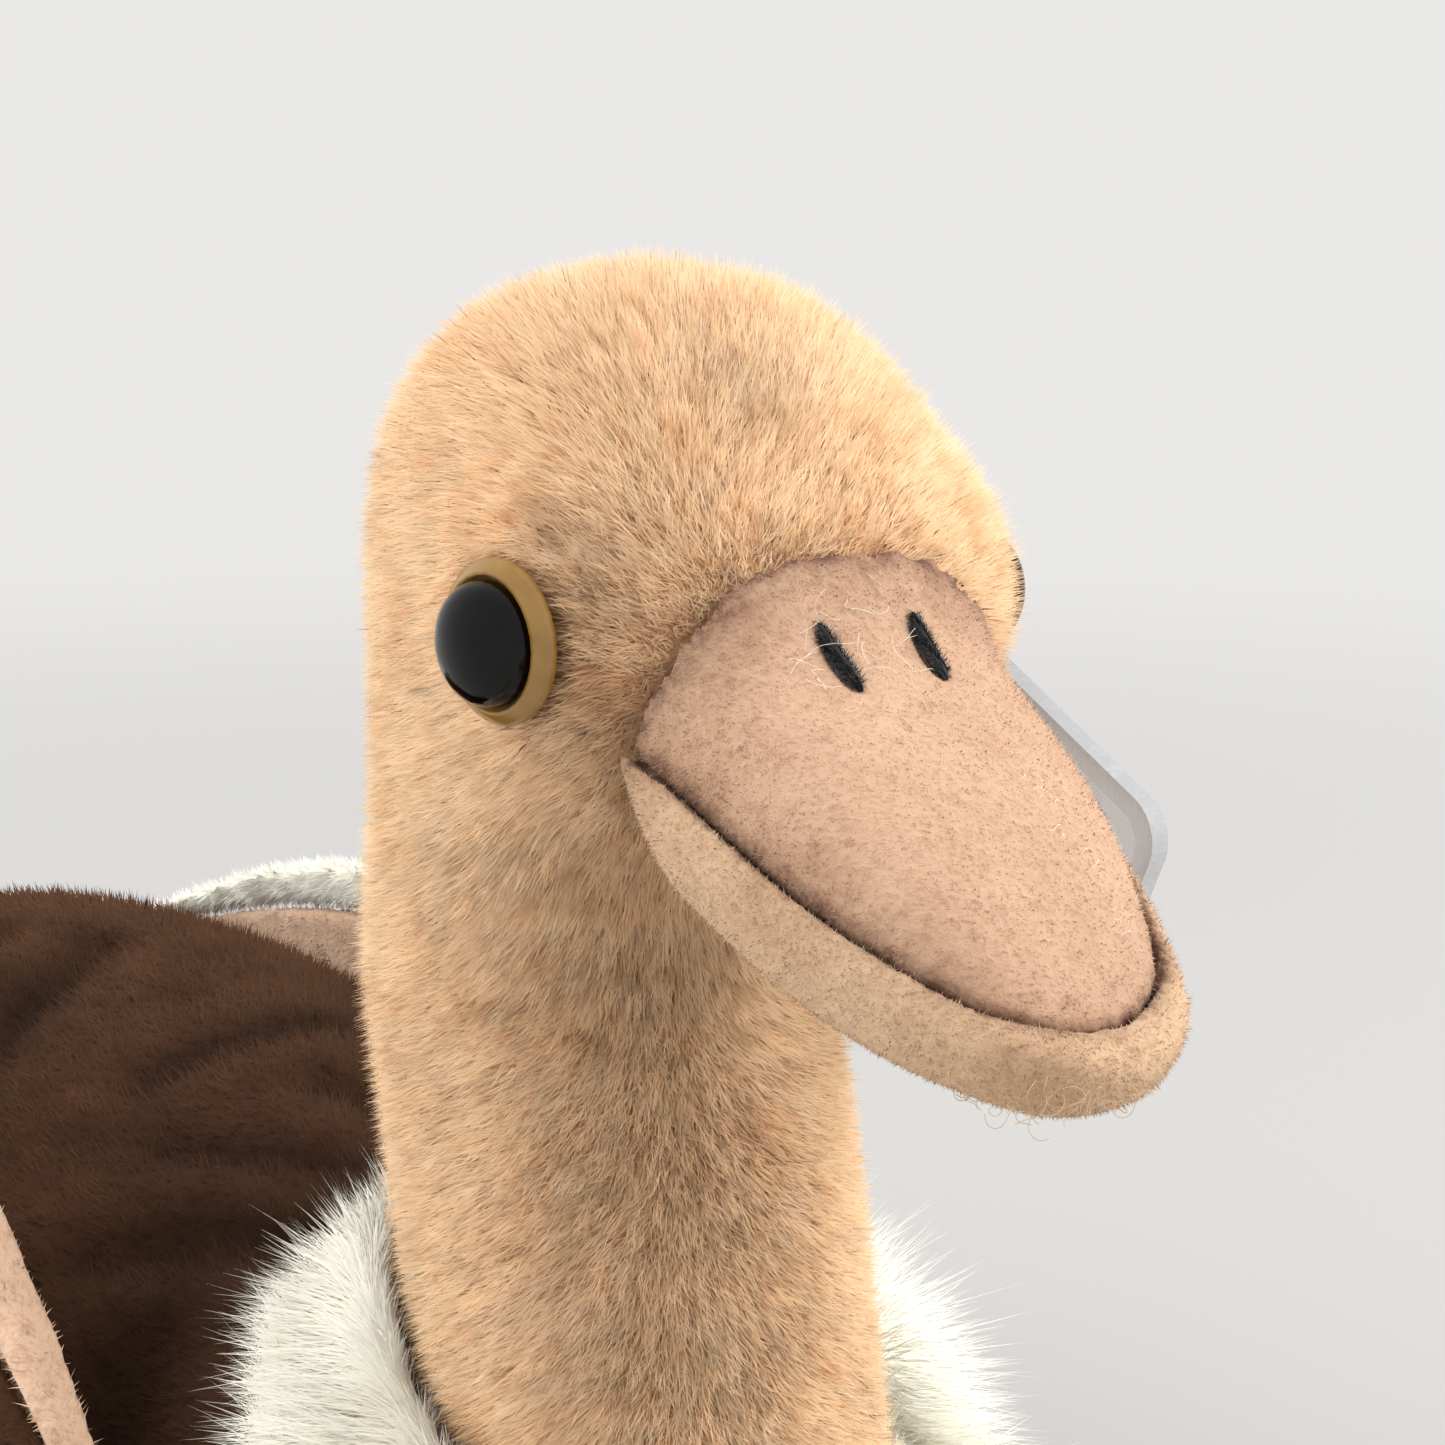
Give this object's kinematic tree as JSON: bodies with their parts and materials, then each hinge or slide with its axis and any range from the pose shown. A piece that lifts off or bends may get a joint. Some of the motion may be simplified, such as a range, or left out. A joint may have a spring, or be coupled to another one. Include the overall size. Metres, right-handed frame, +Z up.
{
  "type": "plush ostrich",
  "caption": "Stuffed plush ostrich sitting on its belly, with a long neck, padded beak, shaggy collar, cloth wings and legs stretched forward.",
  "frame": {"origin": "centre of the flat seat under the body", "axes": "+Z up, the ostrich faces -Y, its left side is +X"},
  "size_m": [0.1014, 0.254, 0.138],
  "materials": {
    "peach_pile": "short pile",
    "beak_felt": "felt",
    "brown_pile": "short velvety pile",
    "white_pile": "long pile",
    "amber_plastic": "polished",
    "black_plastic": "polished",
    "black_thread": "satin stitch",
    "pale_plastic": "moulded",
    "clear_plastic": "translucent film"
  },
  "bodies": {
    "root": {"body": "brown_pile", "head_neck": "peach_pile", "upper_beak": "beak_felt", "lower_beak": "peach_pile", "right_eye": "amber_plastic", "left_eye": "amber_plastic", "right_pupil": "black_plastic", "left_pupil": "black_plastic", "right_eye_washer": "pale_plastic", "left_eye_washer": "pale_plastic", "right_nostril": "black_thread", "left_nostril": "black_thread", "right_wing_outer": "brown_pile", "left_wing_outer": "brown_pile", "right_wing_lining": "peach_pile", "left_wing_lining": "peach_pile", "right_wing_trim": "white_pile", "left_wing_trim": "white_pile", "right_leg": "peach_pile", "left_leg": "peach_pile", "right_foot": "beak_felt", "left_foot": "beak_felt", "collar": "white_pile", "tail": "white_pile", "tag_sleeve": "clear_plastic", "tag_pin": "pale_plastic"}
  },
  "joints": []
}
